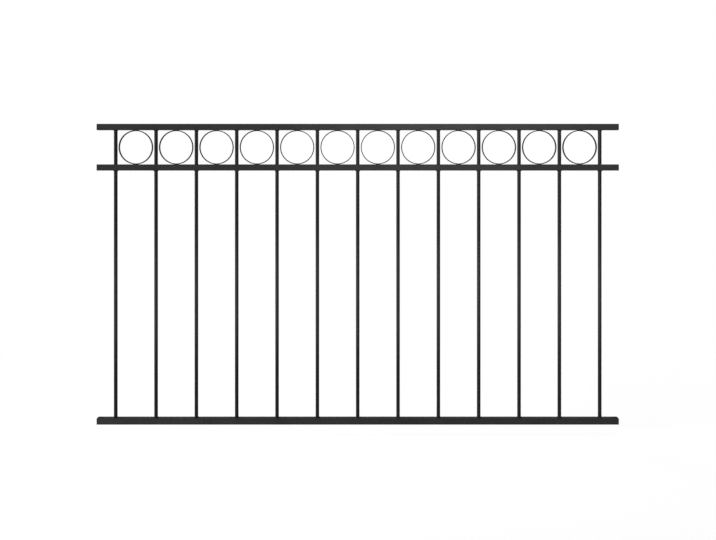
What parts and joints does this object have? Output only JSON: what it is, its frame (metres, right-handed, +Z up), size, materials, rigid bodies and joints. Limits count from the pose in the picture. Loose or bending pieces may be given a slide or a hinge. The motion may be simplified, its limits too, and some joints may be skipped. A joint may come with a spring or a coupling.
{
  "type": "steel fence panel with ring band",
  "caption": "Open welded steel fence panel: square-tube rails, round tube pickets and a band of rolled strip rings under the top rail. Hangs between posts.",
  "frame": {"origin": "middle of the bottom rail's underside", "axes": "+X along the rails, +Y from the front face to the back, +Z up"},
  "size_m": [1.8286, 0.022, 1.054],
  "materials": {
    "black_coat": "satin black powder coat"
  },
  "bodies": {
    "root": {"top_rail": "black_coat", "second_rail": "black_coat", "bottom_rail": "black_coat", "picket_01": "black_coat", "picket_02": "black_coat", "picket_03": "black_coat", "picket_04": "black_coat", "picket_05": "black_coat", "picket_06": "black_coat", "picket_07": "black_coat", "picket_08": "black_coat", "picket_09": "black_coat", "picket_10": "black_coat", "picket_11": "black_coat", "picket_12": "black_coat", "picket_13": "black_coat", "rings": "black_coat"}
  },
  "joints": []
}
